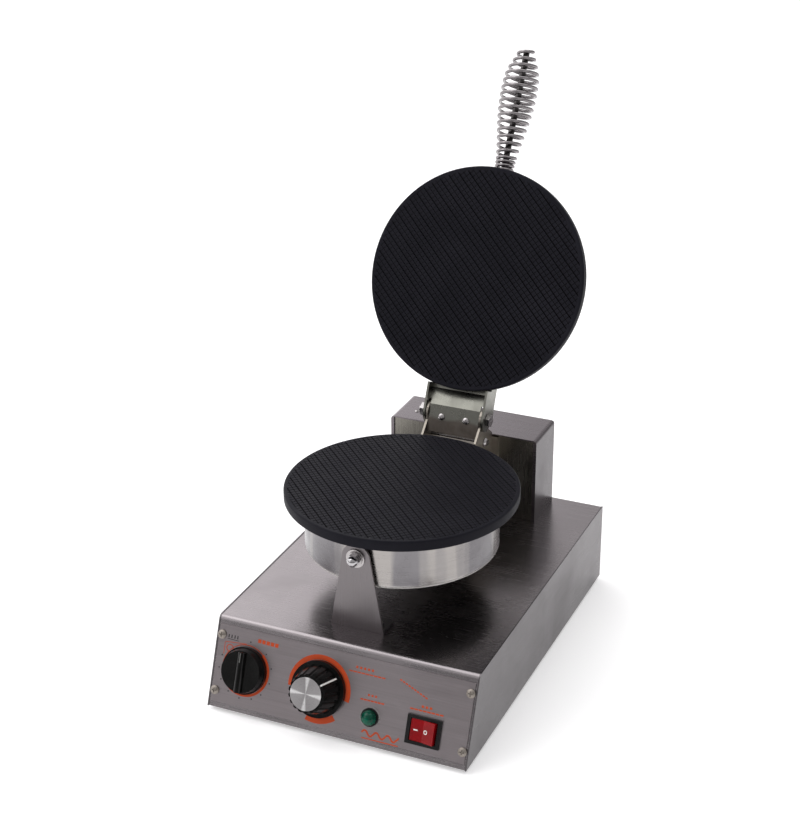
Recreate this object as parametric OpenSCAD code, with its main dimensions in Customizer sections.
// Waffle cone maker: a heated lower plate on a slope-fronted casing, and a
// heated lid plate on a hinge arm with a coiled-wire handle.
// Front is -Y, up is +Z. The origin is on the table, below the middle of the
// bounding box of the open machine. Lengths are in millimetres.

/* [Base casing] */
// Width of the casing over its side panels
base_w = 246; // [240:1:260]
// Length of the casing at its foot
base_len = 355; // [350:1:375]
// Height of the casing without its feet
base_h = 76; // [74:1:84]
// Lean of the front panel from upright, degrees
front_tilt = 21.3; // [18:0.1:24]
// Height that the rubber feet hold the casing off the table
foot_h = 4; // [3:0.5:8]
// Thickness of the casing sheet
sheet = 1.2; // [1:0.1:1.5]

/* [Cooking plates] */
// Diameter of both cooking plates
plate_d = 210; // [204:1:212]
// Thickness of both cooking plates
plate_t = 10; // [9:0.5:11]
// Height of the lower cooking face above the casing top
face_up = 97.2; // [96:0.2:100]
// Gap between the cooking faces when the lid is shut
plate_gap = 1.5; // [1:0.1:3]
// Diameter of the heater housings
drum_d = 174.8; // [172:0.2:176]
// Height of the heater housings
drum_h = 47; // [45:1:48]

/* [Hinge] */
// Angle of the lid when it rests open, degrees
open_angle = 114; // [108:1:116]
// Distance of the hinge pin behind the middle of the plates
pin_back = 128.8; // [128:0.2:130]
// Height of the hinge pin above the lower cooking face
pin_up = 12.9; // [12.5:0.1:13.5]
// Diameter of the hinge pin
pin_d = 8; // [7:0.5:8]

/* [Rear box] */
// Width of the rear box
box_w = 150; // [140:1:160]
// Depth of the rear box
box_depth = 51; // [46:1:54]
// Height of the rear box
box_h = 86.6; // [84:0.2:88]
// Shift of the rear box and the front stand to the left
left_shift = 2.4; // [0:0.2:4]

/* [Handle] */
// Upward lean of the handle, degrees
handle_tilt = 5; // [3:0.5:8]
// Largest diameter of the coiled grip
grip_d = 35.6; // [30:0.2:37]
// Turns of wire in the grip
grip_turns = 21; // [17:1:22]
// Diameter of the grip wire
wire_d = 3.2; // [2.4:0.1:3.4]

/* [Controls] */
// Diameter of the timer knob's skirt
timer_d = 42; // [38:1:44]
// Diameter of the thermostat knob's skirt
thermo_d = 50; // [44:1:52]
// Height of the thermostat knob
thermo_h = 27; // [22:1:30]
// Width of the rocker switch frame
switch_w = 31; // [28:1:33]
// Height of the rocker switch frame
switch_h = 25; // [22:1:27]

/* [Hidden] */

// Colours
steel_color = [0.62, 0.59, 0.60];
bright_color = [0.80, 0.79, 0.80];
black_color = [0.11, 0.11, 0.13];
fibre_color = [0.82, 0.78, 0.68];

// Small distance by which a cutting shape passes a face
cut = 1;
// Gap left between curved faces of separate pieces
fit_gap = 0.1;
// Radial clearance of a turning fit
run_gap = 0.05;

// Places along Y and Z, with the plates' common axis at plate_y
plate_y = -68.7;
base_back = plate_y + 206.6;
base_front = base_back - base_len;
top_z = foot_h + base_h;
face_z = top_z + face_up;
drum_top = face_z - plate_t;
drum_r = drum_d / 2;
plate_r = plate_d / 2;
shell_half = base_w / 2 - sheet;
panel_len = base_h / cos(front_tilt);
front_top = base_front + base_h * tan(front_tilt);
bend_r = 5;
lip = 12;

// Hinge places
pin_y = plate_y + pin_back;
pin_z = face_z + pin_up;
pin_r = pin_d / 2;
strap = 2;
ear_half = 27.6;
arm_half = 30.2;
arm_in = arm_half - strap;
lobe_r = 11.5;
ear_lobe_r = 10.5;
// Height of the lid's cooking face when it is shut
lid_z = face_z + plate_gap;

// Rear box places
box_mid = -left_shift;
box_back = base_back - 6.1;
box_front = box_back - box_depth;
box_sheet = 1.2;
box_lip = 3.2;
box_fold_r = 3.5;
box_back_lip = 9;
box_top = top_z + box_h;

// Control places on the front panel: across from the middle, then up the slope
timer_at = [-91, 38.4];
thermo_at = [-19, 38.3];
lamp_at = [31, 24.6];
switch_at = [81, 24];
plate_face = 0.8;
corner_u = 117.5;
corner_v = [15, 65.2];
shaft_r = 3;
bush_r = 5;
lamp_r = 6.2;
switch_body_w = switch_w - 4;
switch_body_h = switch_h - 3.6;

// Handle places, measured outward from the middle of the lid plate
handle_d = 21;
handle_from = 84;
handle_to = 220;
grip_from = 94;
grip_to = 222.5;
rod_r = 3;

// Casing, feet and gland
proud = 0.4;
foot_x = [-95, 95];
foot_y = [base_front + 40, base_back - 30];
foot_r = 11;
base_plate_z = foot_h + 2 * sheet + 0.5;
base_screw_x = shell_half - 5;
base_screw_y = [base_front + 60, plate_y + 20, base_back - 70];
vent_count = 9;
gland_x = -60;
gland_z = foot_h + 26;
gland_r = 8;
earth_x = -20;
box_screw_x = [-box_w / 2 + 6, box_w / 2 - 6];
box_screw_z = [top_z + 14, box_top - 14];

// Terminal block and wires
block_x = box_mid - 55.3;
block_h = 16;
block_z = box_top - box_sheet - 0.05 - block_h;
block_screw_y = [box_front + 18.5, box_front + 35];
terminal_y = [box_front + 12, box_front + 21, box_front + 30, box_front + 39];
loom_x = 38;
loom_r = 4;
loom_z = base_plate_z + sheet + loom_r + 0.4;
loom_y = [base_front + 72, box_front + box_depth / 2];

// Control panel, knobs and rocker
control_plate_w = 241;
control_plate_v = [5, panel_len - 7];
timer_lift = plate_face + 0.6;
shaft_in = 20;
shaft_out = 10;
flute_count = 18;
flute_turn = 6;
flute_r = 1.9;
flute_out = 0.9;
thermo_body_r = thermo_d / 2 - 3;
cap_r = 14.5;
ridge_half = 3.6;
ridge_z = 9.6;
rocker_w = 23.6;
rocker_h = 19;
rocker_pin_out = plate_face - 1.2;
rocker_pin_r = 1.5;
rocker_angle = 9;

// Fixed hinge bracket
ear_low = drum_top - 40;
ear_flange = 34.4;
ear_screw_x = [-31, 31];
ear_screw_z = [face_z - 45, face_z - 36];
ear_screw_r = 1.45;
ear_hole_r = 1.6;
flange_back = box_front + box_sheet;
tie_y = plate_y + 130;
tie_z = face_z - 10.9;
web_y = plate_y + 113;
web_top = face_z - 6.9;
web_lip = 5.5;
stop_gap = 0.3;

// Heaters, lead sleeve and front stand
tie_bolt_count = 3;
tie_bolt_at = 35;
heater_mid = 56;
sleeve_z = drum_top - 30;
sleeve_r = 6;
stand_t = 2;
stand_y = plate_y - drum_r - 3;
stand_top_r = 13;
stand_w = 50;
stand_bolt_z = top_z + 70;
stand_screw_in = 12;
stand_screw_x = [-15 - left_shift, 15 - left_shift];

// Lid arm and grip
saddle_screw_a = [-13, 13];
saddle_screw_up = [20, 38];
arm_deep = 26;
tongue_half = 25;
tongue_screw_x = [-12.3, 12.3];
tongue_lean = atan((5.2 - 2.9) / 26);
grip_steps = 12;
grip_sides = 6;
grip_rings = grip_turns * grip_steps;

// ---------- helpers ----------

// Moves the lid's pieces, drawn shut, to their open rest position
module open_lid() {
  translate([0, pin_y, pin_z]) rotate([-open_angle, 0, 0]) translate([0, -pin_y, -pin_z]) children();
}

// Places children on the front panel: X across, Y up the slope, Z outward
module on_panel(at = [0, 0], out = 0) {
  translate([0, base_front, foot_h]) rotate([90 - front_tilt, 0, 0])
    translate([at[0], at[1], out]) children();
}

// Places children so that their Z axis points to the front
module facing_front(x, y, z) {
  translate([x, y, z]) rotate([90, 0, 0]) children();
}

// Turns an outline drawn in Y and Z into a plate from x0 to x1
module side_slab(x0, x1) {
  translate([x0, 0, 0]) rotate([90, 0, 90]) linear_extrude(x1 - x0) children();
}

// Domed screw head with a cross recess, standing on Z = 0
module screw_head(r, h) {
  difference() {
    intersection() {
      translate([0, 0, h - r * 1.5]) sphere(r = r * 1.5, $fn = 48);
      cylinder(r = r, h = h, $fn = 48);
    }
    translate([-r * 0.55, -r * 0.11, h * 0.55]) cube([r * 1.1, r * 0.22, h]);
    translate([-r * 0.11, -r * 0.55, h * 0.55]) cube([r * 0.22, r * 1.1, h]);
  }
}

module pan_screw(r, h, shank_r, shank) {
  screw_head(r, h);
  translate([0, 0, -shank]) cylinder(r = shank_r, h = shank, $fn = 24);
}

module ring(outer, inner, h) {
  difference() {
    cylinder(r = outer, h = h, $fn = 96);
    translate([0, 0, -cut]) cylinder(r = inner, h = h + 2 * cut, $fn = 96);
  }
}

// ---------- casing ----------

// Outline of the casing in Y and Z, drawn inset by d
module casing_outline(d = 0) {
  slope = tan(front_tilt);
  top = top_z - d;
  low = foot_h + d;
  side = d / cos(front_tilt);
  corner_r = bend_r - d;
  tangent = corner_r * tan((90 - front_tilt) / 2);
  corner_y = front_top + side - d * slope;
  union() {
    polygon([
      [base_back - d, low],
      [base_back - d, top],
      [corner_y + tangent, top],
      [corner_y - tangent * sin(front_tilt), top - tangent * cos(front_tilt)],
      [base_front + side + d * slope, low]
    ]);
    translate([corner_y + tangent, top - corner_r]) circle(r = corner_r, $fn = 64);
  }
}

module casing_shell() {
  color(steel_color) difference() {
    side_slab(-shell_half, shell_half) difference() {
      casing_outline();
      casing_outline(sheet);
      translate([base_front + lip + sheet, foot_h - cut])
        square([base_len - 2 * lip - 2 * sheet, sheet + 2 * cut]);
    }
    on_panel(timer_at, -10) cylinder(r = bush_r + fit_gap, h = 20, $fn = 48);
    on_panel(thermo_at, -10) cylinder(r = bush_r + fit_gap, h = 20, $fn = 48);
    on_panel(lamp_at, -10) cylinder(r = lamp_r + fit_gap, h = 20, $fn = 48);
    on_panel(switch_at, -10) translate([-switch_body_w / 2 - 0.3, -switch_body_h / 2 - 0.3, 0])
      cube([switch_body_w + 0.6, switch_body_h + 0.6, 20]);
    for (u = [-corner_u, corner_u], v = corner_v)
      on_panel([u, v], -10) cylinder(r = 1.6, h = 20, $fn = 24);
    translate([gland_x, base_back + cut, gland_z]) rotate([90, 0, 0])
      cylinder(r = gland_r + fit_gap, h = 10, $fn = 48);
    translate([earth_x, base_back + cut, gland_z]) rotate([90, 0, 0]) cylinder(r = 2.6, h = 10, $fn = 32);
    for (x = [-loom_x, loom_x]) translate([box_mid + x, box_front + box_depth / 2, top_z - 5])
      cylinder(r = 9, h = 10, $fn = 48);
    for (x = stand_screw_x) translate([x, stand_y + stand_screw_in, top_z - 5])
      cylinder(r = 2.1, h = 10, $fn = 32);
  }
}

// A side panel stands a little proud of the folded sheet, with a bottom lip
module side_panel(side) {
  x0 = side > 0 ? shell_half : -base_w / 2;
  color(steel_color) difference() {
    union() {
      side_slab(x0, x0 + sheet) casing_outline(-proud);
      side_slab(side > 0 ? shell_half - 8 : -shell_half, side > 0 ? shell_half : -shell_half + 8)
        translate([base_front + 2 * lip, foot_h + sheet + 0.3]) square([base_len - 3.5 * lip, sheet]);
    }
    for (y = base_screw_y) translate([side * base_screw_x, y, foot_h]) cylinder(r = 1.5, h = 6, $fn = 24);
  }
}

module side_panel_left() { side_panel(-1); }
module side_panel_right() { side_panel(1); }

module base_plate() {
  color(steel_color) difference() {
    translate([-shell_half + 1, base_front + lip + 6, base_plate_z])
      cube([2 * shell_half - 2, base_len - lip - 12, sheet]);
    for (i = [0:vent_count - 1])
      translate([-40, plate_y - 60 + i * 15, base_plate_z - cut]) cube([80, 5, sheet + 2 * cut]);
    for (x = [-base_screw_x, base_screw_x], y = base_screw_y)
      translate([x, y, base_plate_z - cut]) cylinder(r = 1.5, h = 4, $fn = 24);
    for (x = foot_x, y = foot_y)
      translate([x, y, base_plate_z - cut]) cylinder(r = 4.5, h = 4, $fn = 32);
  }
}

// The same small screw holds the base plate, the rear box's back and its terminal block
module sheet_screw() { pan_screw(2.3, 1.1, 1.2, 4.4); }
module sheet_screws() {
  color(bright_color) for (x = [-base_screw_x, base_screw_x], y = base_screw_y)
    translate([x, y, foot_h + sheet + 0.25]) rotate([180, 0, 0]) sheet_screw();
  color(bright_color) for (x = box_screw_x, z = box_screw_z)
    translate([box_mid + x, box_back + sheet + 0.1, z]) rotate([-90, 0, 0]) sheet_screw();
  color(bright_color) for (y = block_screw_y) translate([block_x, y, box_top + 0.05]) sheet_screw();
}

module rubber_feet() {
  color(black_color) for (x = foot_x, y = foot_y) translate([x, y, 0]) difference() {
    cylinder(r = foot_r, h = base_plate_z - 0.05, $fn = 64);
    translate([0, 0, -cut]) cylinder(r = 5, h = 2 + cut, $fn = 48);
    translate([0, 0, -cut]) cylinder(r = 2.2, h = foot_h + 5, $fn = 32);
  }
}

module foot_screws() {
  color(bright_color) for (x = foot_x, y = foot_y)
    translate([x, y, 2]) rotate([180, 0, 0]) pan_screw(4, 1.6, 1.9, foot_h + 3);
}

// ---------- control panel ----------

module control_plate() {
  height = control_plate_v[1] - control_plate_v[0];
  color([0.60, 0.58, 0.59]) on_panel() difference() {
    translate([-control_plate_w / 2, control_plate_v[0], 0.02])
      cube([control_plate_w, height, plate_face - 0.02]);
    translate([timer_at[0], timer_at[1], -cut]) cylinder(r = bush_r + fit_gap, h = 4, $fn = 48);
    translate([thermo_at[0], thermo_at[1], -cut]) cylinder(r = bush_r + fit_gap, h = 4, $fn = 48);
    translate([lamp_at[0], lamp_at[1], -cut]) cylinder(r = lamp_r + fit_gap, h = 4, $fn = 48);
    translate([switch_at[0] - switch_body_w / 2 - 0.3, switch_at[1] - switch_body_h / 2 - 0.3, -cut])
      cube([switch_body_w + 0.6, switch_body_h + 0.6, 4]);
    for (u = [-corner_u, corner_u], v = corner_v)
      translate([u, v, -cut]) cylinder(r = 1.6, h = 4, $fn = 24);
  }
}

module control_plate_screws() {
  color(bright_color) for (u = [-corner_u, corner_u], v = corner_v)
    on_panel([u, v], plate_face + 0.02) pan_screw(4, 2.4, 1.5, 3.8);
}

module timer_body() {
  color(fibre_color) on_panel(timer_at) difference() {
    union() {
      translate([-21, -18, -sheet - 36]) cube([42, 36, 35.9]);
      translate([0, 0, -sheet - 1]) cylinder(r = bush_r, h = sheet + plate_face + 3, $fn = 48);
    }
    shaft_bore();
  }
}

// The bore of a control's bush and the shaft that turns in it
module shaft_bore() {
  translate([0, 0, -shaft_in - 1]) cylinder(r = shaft_r + run_gap, h = shaft_in + 20, $fn = 48);
}

module control_shaft() {
  translate([0, 0, -shaft_in]) cylinder(r = shaft_r, h = shaft_in + timer_lift + shaft_out, $fn = 48);
}

module timer_shaft() { color(bright_color) on_panel(timer_at) control_shaft(); }

module control_nuts() {
  color(bright_color) for (at = [timer_at, thermo_at]) on_panel(at, plate_face + 0.02) difference() {
    cylinder(r = 8, h = 2, $fn = 6);
    translate([0, 0, -cut]) cylinder(r = bush_r + 0.02, h = 4, $fn = 48);
  }
}

// A knob is hollow over the nut and grips its shaft above that
module knob_bore() {
  translate([0, 0, -cut]) cylinder(r = 9.6, h = 5.4 + cut, $fn = 48);
  cylinder(r = shaft_r + 0.02, h = shaft_out + 0.1, $fn = 48);
}

// A ridge to turn it by stands across the timer's knob
module timer_knob() {
  color(black_color) on_panel(timer_at, timer_lift) difference() {
    union() {
      cylinder(r = timer_d / 2, h = 3, $fn = 96);
      translate([0, 0, 3]) cylinder(r1 = timer_d / 2 - 0.8, r2 = timer_d / 2 - 2.4, h = 6, $fn = 96);
      intersection() {
        cylinder(r = timer_d / 2 - 3, h = ridge_z + ridge_half, $fn = 96);
        union() {
          translate([-ridge_half, -timer_d / 2, 2]) cube([2 * ridge_half, timer_d, ridge_z - 2]);
          translate([0, timer_d / 2, ridge_z]) rotate([90, 0, 0])
            cylinder(r = ridge_half, h = timer_d, $fn = 48);
        }
      }
    }
    knob_bore();
  }
}

module thermostat_body() {
  color(bright_color) on_panel(thermo_at) difference() {
    union() {
      translate([-18, -18, -sheet - 32]) cube([36, 36, 31.9]);
      translate([0, 0, -sheet - 1]) cylinder(r = bush_r, h = sheet + plate_face + 3, $fn = 48);
    }
    shaft_bore();
  }
}

module thermostat_shaft() { color(bright_color) on_panel(thermo_at) control_shaft(); }

module thermostat_knob() {
  color(black_color) on_panel(thermo_at, timer_lift) difference() {
    union() {
      cylinder(r = thermo_d / 2, h = 3.5, $fn = 96);
      translate([0, 0, 3.5])
        cylinder(r1 = thermo_body_r, r2 = thermo_body_r - 5, h = thermo_h - 5.5, $fn = 96);
    }
    for (i = [0:flute_count - 1]) rotate([0, 0, i * 360 / flute_count + flute_turn])
      translate([thermo_body_r + flute_out, 0, 4.5]) rotate([0, -14, 0])
        cylinder(r = flute_r, h = thermo_h, $fn = 24);
    knob_bore();
  }
}

module thermostat_knob_cap() {
  color(bright_color) on_panel(thermo_at, timer_lift + thermo_h - 2 + 0.02)
    cylinder(r = cap_r, h = 2, $fn = 96);
}

module lamp_body() {
  color(black_color) on_panel(lamp_at) union() {
    translate([0, 0, -26]) cylinder(r = 5, h = 26.5, $fn = 48);
    translate([0, 0, -sheet - 3]) cylinder(r = lamp_r, h = sheet + plate_face + 3.5, $fn = 48);
    translate([0, 0, plate_face + 0.02]) cylinder(r = 8, h = 1.2, $fn = 64);
  }
}

module lamp_lens() {
  color([0.0, 0.45, 0.32]) on_panel(lamp_at, plate_face + 1.24) union() {
    cylinder(r = 6.6, h = 1.6, $fn = 64);
    translate([0, 0, 1.6]) intersection() {
      sphere(r = 6.6, $fn = 64);
      cylinder(r = 6.6, h = 6.6, $fn = 64);
    }
  }
}

module switch_body() {
  color(black_color) on_panel(switch_at) difference() {
    union() {
      translate([-switch_body_w / 2, -switch_body_h / 2, -20]) cube([switch_body_w, switch_body_h, 22]);
      translate([-switch_w / 2, -switch_h / 2, plate_face + 0.02]) cube([switch_w, switch_h, 1.9]);
    }
    translate([-rocker_w / 2 - 0.6, -rocker_h / 2 - 0.4, -9]) cube([rocker_w + 1.2, rocker_h + 0.8, 20]);
  }
  color(black_color) on_panel(switch_at, rocker_pin_out) rotate([90, 0, 0])
    translate([0, 0, -rocker_h / 2 - 0.7]) cylinder(r = rocker_pin_r, h = rocker_h + 1.4, $fn = 32);
}

// Rest position: the left side is pressed in
module switch_rocker() {
  color([0.75, 0.04, 0.07]) on_panel(switch_at, rocker_pin_out) rotate([0, -rocker_angle, 0])
    rotate([90, 0, 0]) translate([0, 0, -rocker_h / 2]) linear_extrude(rocker_h) difference() {
      polygon([
        [-rocker_w / 2 + 1, -3.2], [rocker_w / 2 - 1, -3.2],
        [rocker_w / 2 - 0.6, 4.2], [0, 2.6], [-rocker_w / 2 + 0.6, 4.2]
      ]);
      circle(r = rocker_pin_r + run_gap, $fn = 48);
    }
}

// ---------- rear box ----------

// Outline of the rear box in X and Z, inset by d, from low upward
module box_outline(d, low) {
  half = box_w / 2 - d;
  fold = box_fold_r - d;
  top = box_h - d;
  union() {
    translate([-half, low]) square([2 * half, top - fold - low]);
    translate([-half + fold, low]) square([2 * half - 2 * fold, top - low]);
    for (x = [-half + fold, half - fold]) translate([x, top - fold]) circle(r = fold, $fn = 48);
  }
}

// Turns an outline in X and Z, measured from the box's middle, into a plate from y0 to y1
module box_slab(y0, y1) {
  translate([box_mid, y1, top_z]) rotate([90, 0, 0]) linear_extrude(y1 - y0) children();
}

// The two strips of the box's outline that are folded inward at its sides
module box_lips(wide) {
  intersection() {
    box_outline(0, 0.05);
    for (x = [-box_w / 2, box_w / 2 - wide]) translate([x, 0.05]) square([wide, box_h]);
  }
}

module rear_box_shell() {
  color(steel_color) difference() {
    union() {
      box_slab(box_front, box_back) difference() {
        box_outline(0, 0.05);
        box_outline(box_sheet, -cut);
      }
      box_slab(box_front, box_front + box_sheet) box_lips(box_lip);
      box_slab(box_back - box_sheet, box_back) box_lips(box_back_lip);
    }
    for (x = box_screw_x, z = box_screw_z)
      facing_front(box_mid + x, box_back + 5, z) cylinder(r = 1.5, h = 10, $fn = 24);
    for (y = block_screw_y) translate([block_x, y, box_top - 5]) cylinder(r = 1.5, h = 10, $fn = 24);
  }
}

module rear_box_front() {
  front_y = box_front + box_sheet + 0.05;
  color(steel_color) difference() {
    box_slab(front_y, front_y + box_sheet) box_outline(box_sheet + 0.2, 0.3);
    for (x = ear_screw_x, z = ear_screw_z)
      facing_front(x, box_front + 5, z) cylinder(r = ear_hole_r, h = 10, $fn = 32);
    facing_front(0, box_front + 5, sleeve_z) cylinder(r = sleeve_r + 0.3, h = 10, $fn = 48);
  }
}

module rear_box_back() {
  color(steel_color) difference() {
    translate([box_mid - box_w / 2 + 1, box_back + 0.05, top_z + 0.5]) cube([box_w - 2, sheet, box_h - 2]);
    for (x = box_screw_x, z = box_screw_z)
      facing_front(box_mid + x, box_back + 5, z) cylinder(r = 1.5, h = 10, $fn = 24);
    for (i = [0:5])
      translate([box_mid - 25, box_back - cut, top_z + 26 + i * 7]) cube([50, 4, 2.4]);
  }
}

// ---------- fixed hinge bracket ----------

// Where a point of the shut lid, in Y and Z, lies once the lid is open
function opened(p) = [
  pin_y + (p[0] - pin_y) * cos(open_angle) + (p[1] - pin_z) * sin(open_angle),
  pin_z - (p[0] - pin_y) * sin(open_angle) + (p[1] - pin_z) * cos(open_angle)
];

// A horn on each ear stops the arm's web when the lid is open
module ear_outline() {
  union() {
    polygon([
      opened([plate_y + 115.5, lid_z + 8.3 + stop_gap]),
      opened([plate_y + 109, lid_z + 11.75 + stop_gap]),
      [pin_y + 11.5, pin_z + 12],
      [pin_y + 9.4, pin_z + 3],
      [pin_y, pin_z + 2]
    ]);
    polygon([
      [plate_y + drum_r - 6, ear_low],
      [box_front, ear_low],
      [box_front, face_z - 9],
      [plate_y + 140, face_z - 1.5],
      [pin_y + ear_lobe_r * 0.94, pin_z - 5],
      [pin_y - ear_lobe_r * 0.82, pin_z + 6.5],
      [pin_y - 10.2, pin_z - 4.9],
      [pin_y - 12.2, pin_z - 7],
      [plate_y + 107, face_z - 3],
      [plate_y + 107, drum_top - 1.4],
      [plate_y + drum_r - 6, drum_top - 1.4]
    ]);
    translate([pin_y, pin_z]) circle(r = ear_lobe_r, $fn = 96);
  }
}

module hinge_bracket() {
  color(steel_color) difference() {
    union() {
      for (x = [-ear_half, ear_half - strap]) side_slab(x, x + strap) ear_outline();
      translate([-ear_half + 1, web_y, ear_low]) cube([2 * ear_half - 2, strap, web_top - ear_low]);
      translate([-ear_half + 1, web_y, web_top - strap]) cube([2 * ear_half - 2, web_lip, strap]);
      for (x = [-ear_flange, ear_half - 1])
        translate([x, flange_back - strap, ear_low])
          cube([ear_flange - ear_half + 1, strap, face_z - 13 - ear_low]);
      intersection() {
        translate([0, plate_y, ear_low]) ring(drum_r + fit_gap + strap, drum_r - 2, drum_top - 1.4 - ear_low);
        translate([-ear_half, plate_y + 60, ear_low]) cube([2 * ear_half, 60, drum_h]);
      }
    }
    translate([0, plate_y, ear_low - cut]) cylinder(r = drum_r + fit_gap, h = drum_h, $fn = 128);
    translate([-50, pin_y, pin_z]) rotate([0, 90, 0]) cylinder(r = pin_r + 0.02, h = 100, $fn = 64);
    translate([-50, tie_y, tie_z]) rotate([0, 90, 0]) cylinder(r = 2.55, h = 100, $fn = 48);
    for (x = ear_screw_x, z = ear_screw_z)
      facing_front(x, box_front + 5, z) cylinder(r = ear_hole_r, h = 10, $fn = 32);
    for (a = [-12, 12]) translate([0, plate_y, ear_low + 10]) rotate([-90, 0, a])
      cylinder(r = 2.1, h = 110, $fn = 32);
    facing_front(0, plate_y + 130, sleeve_z) cylinder(r = sleeve_r + 0.3, h = 60, $fn = 48);
  }
}

module hinge_bracket_screws() {
  color(bright_color) for (x = ear_screw_x, z = ear_screw_z)
    facing_front(x, flange_back - strap - 0.05, z) pan_screw(2.8, 2, ear_screw_r, 5.6);
  color(bright_color) for (a = [-12, 12]) translate([0, plate_y, ear_low + 10]) rotate([-90, 0, a])
    translate([0, 0, drum_r + fit_gap + strap + 0.3]) pan_screw(3.4, 1.8, 1.95, 6);
}

module hinge_bracket_tie_bolt() {
  color(bright_color) translate([-ear_half - 3.6, tie_y, tie_z]) rotate([0, 90, 0]) union() {
    cylinder(r = 2.5, h = 2 * ear_half + 7.2, $fn = 48);
    cylinder(r = 4.6, h = 3.4, $fn = 6);
    translate([0, 0, 2 * ear_half + 3.8]) intersection() {
      translate([0, 0, -2]) sphere(r = 5, $fn = 48);
      cylinder(r = 4.2, h = 3.4, $fn = 48);
    }
  }
}

module hinge_pin() {
  color(bright_color) translate([-arm_half - 7, pin_y, pin_z]) rotate([0, 90, 0]) union() {
    cylinder(r = pin_r, h = 2 * arm_half + 11, $fn = 64);
    translate([0, 0, 2 * arm_half + 7.4]) cylinder(r = 6.4, h = 3.6, $fn = 6);
  }
}

module hinge_pin_nut() {
  color(bright_color) translate([-arm_half - 5.4, pin_y, pin_z]) rotate([0, 90, 0]) difference() {
    cylinder(r = 6.8, h = 5, $fn = 6);
    translate([0, 0, -cut]) cylinder(r = pin_r + 0.02, h = 7, $fn = 48);
  }
}

module hinge_washers() {
  color([0.85, 0.84, 0.80]) for (x = [-ear_half - 0.5, ear_half + 0.1])
    translate([x, pin_y, pin_z]) rotate([0, 90, 0]) ring(7.5, pin_r + 0.02, 0.4);
}

// ---------- plates and heater housings ----------

// Cooking plate with its face at Z = 0 and its body below
module cooking_plate() {
  edge = 1.6;
  rotate_extrude($fn = 180) difference() {
    union() {
      translate([0, -plate_t]) square([plate_r - edge, plate_t]);
      translate([0, -plate_t + edge]) square([plate_r, plate_t - 2 * edge]);
      translate([plate_r - edge, -edge]) circle(r = edge, $fn = 48);
      translate([plate_r - edge, -plate_t + edge]) circle(r = edge, $fn = 48);
    }
    translate([-10, -plate_t - cut]) square([10, plate_t + 2 * cut]);
    translate([50, -plate_t - cut]) square([12, cut + 4]);
  }
}

// Heater housing below a plate: a spun cup with a rounded floor edge
module drum_cup() {
  wall = 1.2;
  round_r = 4;
  rotate_extrude($fn = 180) difference() {
    union() {
      translate([0, -drum_h]) square([drum_r - round_r, drum_h - 0.05]);
      translate([0, -drum_h + round_r]) square([drum_r, drum_h - round_r - 0.05]);
      translate([drum_r - round_r, -drum_h + round_r]) circle(r = round_r, $fn = 64);
    }
    translate([0, -drum_h + wall]) square([drum_r - round_r, drum_h]);
    translate([0, -drum_h + round_r]) square([drum_r - wall, drum_h]);
    translate([drum_r - round_r, -drum_h + round_r]) circle(r = round_r - wall, $fn = 64);
    translate([-20, -drum_h - cut]) square([20, drum_h + 2 * cut]);
  }
}

// Bolt holes through a drum floor
module drum_bolt_holes() {
  for (i = [0:tie_bolt_count - 1]) rotate([0, 0, 30 + i * 360 / tie_bolt_count])
    translate([tie_bolt_at, 0, -drum_h - cut]) cylinder(r = 2.6, h = 6, $fn = 32);
}

// Ring heater whose top lies in the plate's groove, with two terminals
module heater_ring() {
  rotate_extrude($fn = 96) translate([heater_mid, -0.2]) circle(r = 4, $fn = 40);
  for (a = [-6, 6]) rotate([0, 0, 90 + a]) translate([heater_mid, 0, -22])
    cylinder(r = 2.6, h = 20, $fn = 32);
}

module insulation_disc() {
  difference() {
    translate([0, 0, -22]) cylinder(r = drum_r - 9, h = 12, $fn = 128);
    translate([0, 0, -23]) cylinder(r = 14, h = 14, $fn = 64);
    for (a = [-6, 6]) rotate([0, 0, 90 + a]) translate([heater_mid, 0, -23])
      cylinder(r = 3.2, h = 14, $fn = 32);
    for (i = [0:tie_bolt_count - 1]) rotate([0, 0, 30 + i * 360 / tie_bolt_count])
      translate([tie_bolt_at, 0, -23]) cylinder(r = 3, h = 14, $fn = 32);
  }
}

module drum_bolts() {
  for (i = [0:tie_bolt_count - 1]) rotate([0, 0, 30 + i * 360 / tie_bolt_count])
    translate([tie_bolt_at, 0, -drum_h - 0.05]) rotate([180, 0, 0]) union() {
      cylinder(r = 4.6, h = 3, $fn = 6);
      translate([0, 0, -drum_h + 0.2]) cylinder(r = 2.5, h = drum_h - 0.2, $fn = 32);
    }
}

module lower_plate() { color(black_color) translate([0, plate_y, face_z]) cooking_plate(); }

module lower_drum() {
  color(bright_color) difference() {
    translate([0, plate_y, drum_top]) drum_cup();
    translate([0, plate_y, drum_top]) drum_bolt_holes();
    facing_front(-left_shift, plate_y - drum_r + 10, stand_bolt_z) cylinder(r = 3.1, h = 20, $fn = 32);
    for (a = [-12, 12]) translate([0, plate_y, ear_low + 10]) rotate([-90, 0, a])
      cylinder(r = 2.1, h = 110, $fn = 32);
    facing_front(0, plate_y + 110, sleeve_z) cylinder(r = sleeve_r + 0.3, h = 60, $fn = 48);
  }
}

module lower_heater() { color(steel_color) translate([0, plate_y, drum_top]) heater_ring(); }
module lower_insulation() { color(fibre_color) translate([0, plate_y, drum_top]) insulation_disc(); }
module lower_drum_bolts() { color(bright_color) translate([0, plate_y, drum_top]) drum_bolts(); }

// Sleeve that carries the leads from the lower housing to the rear box
module lower_lead_sleeve() {
  color(fibre_color) facing_front(0, box_front + 8, sleeve_z)
    ring(sleeve_r, sleeve_r - 1.5, box_front + 8 - plate_y - drum_r + 8);
}

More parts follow.
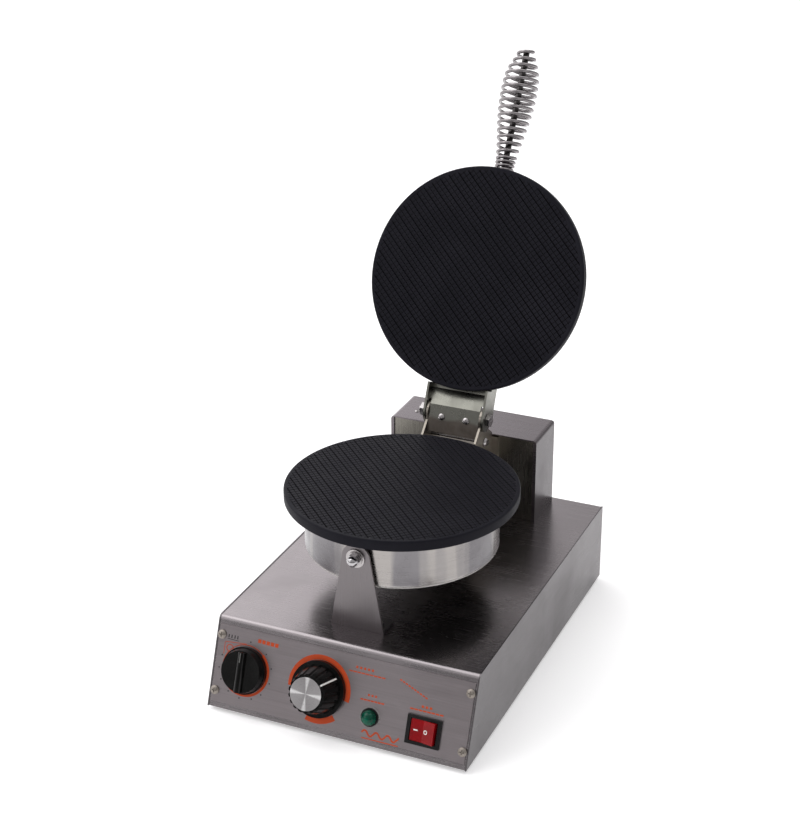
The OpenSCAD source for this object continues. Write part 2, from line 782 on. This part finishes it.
module sensor_bulb() {
  color([0.75, 0.45, 0.30]) translate([-83, plate_y, drum_top - 3.2]) rotate([0, 90, 0])
    cylinder(r = 3, h = 20, $fn = 32);
}

// ---------- front stand ----------

module front_stand() {
  color(steel_color) translate([-left_shift, 0, 0]) difference() {
    union() {
      translate([0, stand_y, 0]) rotate([90, 0, 0]) linear_extrude(stand_t) union() {
        polygon([
          [-stand_w / 2, top_z + 0.05], [stand_w / 2, top_z + 0.05],
          [stand_top_r, stand_bolt_z], [-stand_top_r, stand_bolt_z]
        ]);
        translate([0, stand_bolt_z]) circle(r = stand_top_r, $fn = 96);
      }
      translate([-stand_w / 2, stand_y - stand_t, top_z + 0.05]) cube([stand_w, 22, stand_t]);
    }
    facing_front(0, stand_y + 5, stand_bolt_z) cylinder(r = 3.1, h = 20, $fn = 48);
    for (x = stand_screw_x)
      translate([x + left_shift, stand_y + stand_screw_in, top_z - cut]) cylinder(r = 2.1, h = 6, $fn = 32);
  }
}

module front_stand_screws() {
  color(bright_color) for (x = stand_screw_x)
    translate([x, stand_y + stand_screw_in, top_z + stand_t + 0.1]) pan_screw(3.6, 2, 1.95, 7);
}

module stand_bolt() {
  color(bright_color) facing_front(-left_shift, plate_y - drum_r + 1.5, stand_bolt_z) union() {
    translate([0, 0, -0.1]) cylinder(r = 3, h = 15.6, $fn = 48);
    translate([0, 0, -3]) cylinder(r = 5.5, h = 3, $fn = 6);
  }
}

// One washer between the housing and the stand, two in front of it
module stand_washers() {
  color(bright_color) facing_front(-left_shift, stand_y + 2.9, stand_bolt_z) ring(7, 3.02, 2.8);
  color(bright_color) facing_front(-left_shift, stand_y - stand_t - 0.05, stand_bolt_z) ring(8.5, 3.02, 1.4);
  color(bright_color) facing_front(-left_shift, stand_y - stand_t - 1.5, stand_bolt_z) ring(6.6, 3.02, 1.4);
}

module stand_dome_nut() {
  color(bright_color) facing_front(-left_shift, stand_y - stand_t - 2.95, stand_bolt_z) difference() {
    union() {
      cylinder(r = 5.8, h = 4, $fn = 6);
      translate([0, 0, 3.9]) intersection() {
        sphere(r = 4.9, $fn = 64);
        cylinder(r = 4.9, h = 5, $fn = 64);
      }
    }
    translate([0, 0, -cut]) cylinder(r = 3.02, h = 7.5, $fn = 48);
  }
}

// ---------- inside the rear box and the casing ----------

// The terminal block hangs below the rear box's top
module terminal_block() {
  color(fibre_color) difference() {
    translate([block_x - 11, box_front + 6, block_z]) cube([22, box_depth - 12, block_h]);
    for (y = terminal_y) translate([block_x + 2, y, block_z + 8]) rotate([0, 90, 0])
      cylinder(r = 3, h = 10, $fn = 32);
    for (y = block_screw_y) translate([block_x, y, block_z + block_h - 6])
      cylinder(r = 1.25, h = 7, $fn = 24);
  }
}

module terminal_screws() {
  color(bright_color) for (y = terminal_y) translate([block_x + 2.1, y, block_z + 8]) rotate([0, 90, 0])
    cylinder(r = 2.6, h = 5, $fn = 32);
}

// Bundle of wires along the casing floor, from the controls to the rear box
module wire_loom() {
  rise = top_z + 8 - loom_z;
  color([0.75, 0.3, 0.2]) union() {
    translate([-loom_x, loom_y[0], loom_z]) rotate([-90, 0, 0])
      cylinder(r = loom_r, h = loom_y[1] - loom_y[0], $fn = 32);
    translate([-loom_x, loom_y[1], loom_z]) sphere(r = loom_r, $fn = 32);
    translate([-loom_x, loom_y[1], loom_z]) cylinder(r = loom_r, h = rise, $fn = 32);
    translate([-loom_x, loom_y[0], loom_z]) sphere(r = loom_r, $fn = 32);
    translate([-90, loom_y[0], loom_z]) rotate([0, 90, 0]) cylinder(r = loom_r, h = 160, $fn = 32);
  }
}

module cable_gland() {
  color(black_color) translate([gland_x, base_back, gland_z]) rotate([-90, 0, 0]) difference() {
    union() {
      translate([0, 0, -12]) cylinder(r = gland_r, h = 12.1, $fn = 64);
      translate([0, 0, 0.05]) cylinder(r = 12, h = 4, $fn = 6);
      translate([0, 0, 4]) cylinder(r1 = 10.5, r2 = 7, h = 10, $fn = 64);
    }
    translate([0, 0, -13]) cylinder(r = 4, h = 30, $fn = 48);
  }
}

module cable_gland_nut() {
  color(black_color) translate([gland_x, base_back - sheet - 0.1, gland_z]) rotate([90, 0, 0]) difference() {
    cylinder(r = 12, h = 5, $fn = 6);
    translate([0, 0, -cut]) cylinder(r = gland_r + 0.02, h = 8, $fn = 64);
  }
}

module earth_stud() {
  color([0.80, 0.65, 0.30]) translate([earth_x, base_back, gland_z]) rotate([-90, 0, 0]) union() {
    translate([0, 0, -8]) cylinder(r = 2.4, h = 16, $fn = 32);
    translate([0, 0, 0.05]) cylinder(r = 5, h = 1, $fn = 48);
    translate([0, 0, 1]) cylinder(r = 4.4, h = 3.4, $fn = 6);
  }
}

// ---------- lid ----------

// Places a plate or housing upside down, as it sits in the shut lid
module lid_frame() {
  open_lid() translate([0, plate_y, lid_z]) mirror([0, 0, 1]) children();
}

module upper_plate() { color(black_color) lid_frame() cooking_plate(); }

module upper_drum() {
  color(bright_color) open_lid() difference() {
    translate([0, plate_y, lid_z + plate_t]) mirror([0, 0, 1]) drum_cup();
    translate([0, plate_y, lid_z + plate_t]) mirror([0, 0, 1]) drum_bolt_holes();
    saddle_holes(2.1);
    handle_line() translate([0, 0, handle_from - 10]) cylinder(r = rod_r + 0.1, h = 20, $fn = 48);
  }
}

module upper_heater() { color(steel_color) lid_frame() translate([0, 0, -plate_t]) heater_ring(); }
module upper_insulation() { color(fibre_color) lid_frame() translate([0, 0, -plate_t]) insulation_disc(); }
module upper_drum_bolts() { color(bright_color) lid_frame() translate([0, 0, -plate_t]) drum_bolts(); }

// Radial holes for the saddle's screws, with the lid shut
module saddle_holes(r) {
  for (a = saddle_screw_a, up = saddle_screw_up)
    translate([0, plate_y, lid_z + up]) rotate([-90, 0, a]) cylinder(r = r, h = 110, $fn = 32);
}

// Side cheeks, web, tongue and saddle of the arm, drawn with the lid shut
module cheek_outline() {
  union() {
    translate([pin_y, pin_z]) circle(r = lobe_r, $fn = 96);
    polygon([
      [plate_y + 102, lid_z + 0.4],
      [pin_y, pin_z - lobe_r],
      [pin_y + lobe_r * 0.87, pin_z + lobe_r * 0.5],
      [plate_y + 127, lid_z + arm_deep],
      [plate_y + 80, lid_z + arm_deep],
      [plate_y + 80, lid_z + plate_t + 1.6],
      [plate_y + 102, lid_z + plate_t + 1.6]
    ]);
  }
}

module lid_arm() {
  rise_1 = lid_z + 10.6;
  rise_2 = lid_z + 2.9;
  color(bright_color) open_lid() difference() {
    union() {
      for (x = [-arm_half, arm_in]) side_slab(x, x + strap) cheek_outline();
      side_slab(-arm_half + 0.5, arm_half - 0.5) polygon([
        [plate_y + 117, lid_z + 5.3], [plate_y + 106.4, rise_1], [plate_y + 86, rise_1 + 2],
        [plate_y + 86, rise_1 + 4], [plate_y + 107, rise_1 + 2.2], [plate_y + 117, lid_z + 7.5]
      ]);
      side_slab(-tongue_half, tongue_half) polygon([
        [plate_y + 116, lid_z + 5.8], [plate_y + 122, rise_2], [plate_y + 148, lid_z + 5.2],
        [plate_y + 148, lid_z + 7.2], [plate_y + 122.5, rise_2 + 2], [plate_y + 116, lid_z + 8]
      ]);
      intersection() {
        translate([0, plate_y, lid_z + plate_t + 1.6]) ring(drum_r + fit_gap + strap, drum_r - 2, 33);
        translate([-arm_half, plate_y + 60, lid_z]) cube([2 * arm_half, 60, 60]);
      }
    }
    translate([0, plate_y, lid_z - cut]) cylinder(r = drum_r + fit_gap, h = 70, $fn = 128);
    translate([-50, pin_y, pin_z]) rotate([0, 90, 0]) cylinder(r = pin_r + run_gap, h = 100, $fn = 64);
    saddle_holes(2.1);
    for (x = tongue_screw_x) on_tongue(x, 4) cylinder(r = 2.05, h = 12, $fn = 32);
  }
}

module on_tongue(x, out) {
  translate([x, plate_y + 133, lid_z + 3.87]) rotate([tongue_lean, 0, 0]) translate([0, 0, -out]) children();
}

module lid_arm_screws() {
  color(bright_color) open_lid() for (x = tongue_screw_x)
    on_tongue(x, 0.05) rotate([180, 0, 0]) pan_screw(3.2, 2, 1.95, 3.4);
}

// Clamp behind the tongue that holds the lid's heater lead
module lead_clamp() {
  color(fibre_color) open_lid() translate([0, plate_y + 142.5, lid_z + 6.75]) rotate([tongue_lean, 0, 0])
    translate([-20, -3, 0.12]) cube([40, 6.5, 4]);
}

module saddle_screws() {
  color(bright_color) open_lid() for (a = saddle_screw_a, up = saddle_screw_up)
    translate([0, plate_y, lid_z + up]) rotate([-90, 0, a])
      translate([0, 0, drum_r + fit_gap + strap + 0.3]) pan_screw(3.4, 1.8, 1.95, 5);
}

// Z axis runs outward along the handle, drawn with the lid shut
module handle_line() {
  translate([0, plate_y, lid_z + handle_d]) rotate([90 - handle_tilt, 0, 0]) children();
}

module handle_rod() {
  color(bright_color) open_lid() handle_line() union() {
    translate([0, 0, handle_from]) cylinder(r = rod_r, h = handle_to - handle_from, $fn = 48);
    translate([0, 0, handle_to - 0.1]) intersection() {
      sphere(r = rod_r, $fn = 48);
      cylinder(r = rod_r, h = rod_r, $fn = 48);
    }
    translate([0, 0, handle_from - 4]) cylinder(r = 5.6, h = 4, $fn = 6);
  }
}

module handle_collar() {
  color(bright_color) open_lid() handle_line() translate([0, 0, drum_r + 1.2]) difference() {
    cylinder(r = 7.6, h = 4, $fn = 48);
    translate([0, 0, -cut]) cylinder(r = rod_r + 0.02, h = 6, $fn = 48);
  }
}

// Part of the grip's length reached after part t of its turns; they are closer at the lid
function grip_part(t) = t < 0.28 ? 0.63 * t : 0.1764 + (t - 0.28) * 1.1439;

// Radius of the grip's wire centre line, for part s of its length
function grip_r(s) =
  let (slim = 7.6, full = grip_d / 2 - wire_d / 2, tip = 7.5, start = 0.03, peak = 0.66)
  s < start ? slim
  : s < peak ? slim + (full - slim) * (1 - cos(180 * (s - start) / (peak - start))) / 2
  : tip + (full - tip) * (1 + cos(180 * pow((s - peak) / (1 - peak), 1.9))) / 2;

function grip_z(s) = (grip_to - grip_from - wire_d) * s + wire_d / 2;
function grip_point(i, k) =
  let (
    s = grip_part(i / grip_rings),
    a = 360 * i / grip_steps,
    b = 360 * k / grip_sides,
    r = grip_r(s) + wire_d / 2 * cos(b)
  )
  [r * cos(a), r * sin(a), grip_z(s) + wire_d / 2 * sin(b)];

module handle_grip() {
  points = [for (i = [0:grip_rings], k = [0:grip_sides - 1]) grip_point(i, k)];
  sides = [
    for (i = [0:grip_rings - 1], k = [0:grip_sides - 1])
      let (a = i * grip_sides + k, b = i * grip_sides + (k + 1) % grip_sides)
      each [[a, b, b + grip_sides], [a, b + grip_sides, a + grip_sides]]
  ];
  first = [[for (k = [grip_sides - 1:-1:0]) k]];
  last = [[for (k = [0:grip_sides - 1]) grip_rings * grip_sides + k]];
  color(bright_color) open_lid() handle_line() translate([0, 0, grip_from])
    polyhedron(points = points, faces = concat(sides, first, last), convexity = 10);
}

// ---------- what is drawn ----------

casing_shell();
side_panel_left();
side_panel_right();
base_plate();
sheet_screws();
rubber_feet();
foot_screws();
control_plate();
control_plate_screws();
rear_box_shell();
rear_box_front();
rear_box_back();
hinge_bracket();
hinge_bracket_screws();
hinge_bracket_tie_bolt();
hinge_pin();
hinge_pin_nut();
hinge_washers();
lower_plate();
lower_drum();
lower_heater();
lower_insulation();
lower_drum_bolts();
lower_lead_sleeve();
sensor_bulb();
front_stand();
front_stand_screws();
stand_bolt();
stand_washers();
stand_dome_nut();
timer_body();
timer_shaft();
timer_knob();
thermostat_body();
thermostat_shaft();
thermostat_knob();
thermostat_knob_cap();
control_nuts();
lamp_body();
lamp_lens();
switch_body();
switch_rocker();
terminal_block();
terminal_screws();
wire_loom();
cable_gland();
cable_gland_nut();
earth_stud();
upper_plate();
upper_drum();
upper_heater();
upper_insulation();
upper_drum_bolts();
lid_arm();
lid_arm_screws();
lead_clamp();
saddle_screws();
handle_rod();
handle_collar();
handle_grip();
